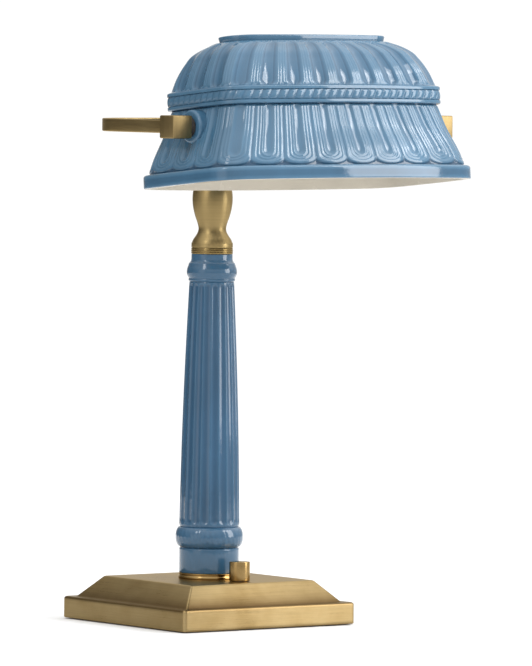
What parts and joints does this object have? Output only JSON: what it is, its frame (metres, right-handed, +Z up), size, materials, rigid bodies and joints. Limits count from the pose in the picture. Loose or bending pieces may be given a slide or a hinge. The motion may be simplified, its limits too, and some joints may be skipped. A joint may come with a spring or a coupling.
{
  "type": "banker desk lamp",
  "caption": "Desk lamp with a square stepped brass base, fluted ceramic column and a ribbed ceramic shade that tilts in a brass yoke.",
  "frame": {"origin": "centre of the felt's underside, on the column's axis", "axes": "+Z up the column, -Y towards the user and the shade, +X to the user's right"},
  "size_m": [0.2518, 0.2661, 0.4339],
  "materials": {
    "blue_ceramic": "glossy blue-grey glaze",
    "aged_brass": "brushed antique",
    "steel": "satin",
    "nickel": "plated",
    "cast_iron": "rough",
    "felt": "felt",
    "fibre": "matt",
    "porcelain": "satin",
    "bulb_glass": "frosted",
    "black_plastic": "moulded"
  },
  "bodies": {
    "stand": {"felt_pad": "felt", "bottom_plate": "steel", "base_shell": "aged_brass", "counterweight": "cast_iron", "base_screw_1": "steel", "base_screw_2": "steel", "base_screw_3": "steel", "base_screw_4": "steel", "foot_ring": "aged_brass", "column": "blue_ceramic", "ferrule": "aged_brass", "neck": "aged_brass", "centre_rod": "steel", "rod_washer": "steel", "rod_nut": "steel", "yoke": "aged_brass", "yoke_hub": "aged_brass", "strap_screw": "steel", "cap_nut": "aged_brass", "pivot_block_left": "aged_brass", "pivot_pin_left": "steel", "spring_washer_left": "steel", "friction_washer_left": "fibre", "pivot_block_right": "aged_brass", "pivot_pin_right": "steel", "spring_washer_right": "steel", "friction_washer_right": "fibre", "dimmer_body": "black_plastic", "dimmer_nut": "steel"},
    "shade_unit": {"shade": "blue_ceramic", "socket_bracket": "steel", "socket_holder": "steel", "holder_screw": "steel", "socket_nipple": "steel", "nipple_nut": "steel", "lamp_socket": "porcelain", "bulb_cap": "nickel", "bulb_glass": "bulb_glass"},
    "dimmer": {"dimmer_shaft": "steel", "dimmer_knob": "aged_brass"}
  },
  "joints": [
    {"name": "shade_tilt", "type": "hinge", "parent": "stand", "child": "shade_unit", "pos_m": [0, -0.117, 0.3669], "axis": [1, 0, 0], "range_deg": [-30, 25]},
    {"name": "dimmer_turn", "type": "hinge", "parent": "stand", "child": "dimmer", "pos_m": [0, -0.0385, 0.0325], "axis": [0, 0, 1], "range_deg": [0, 270]}
  ]
}
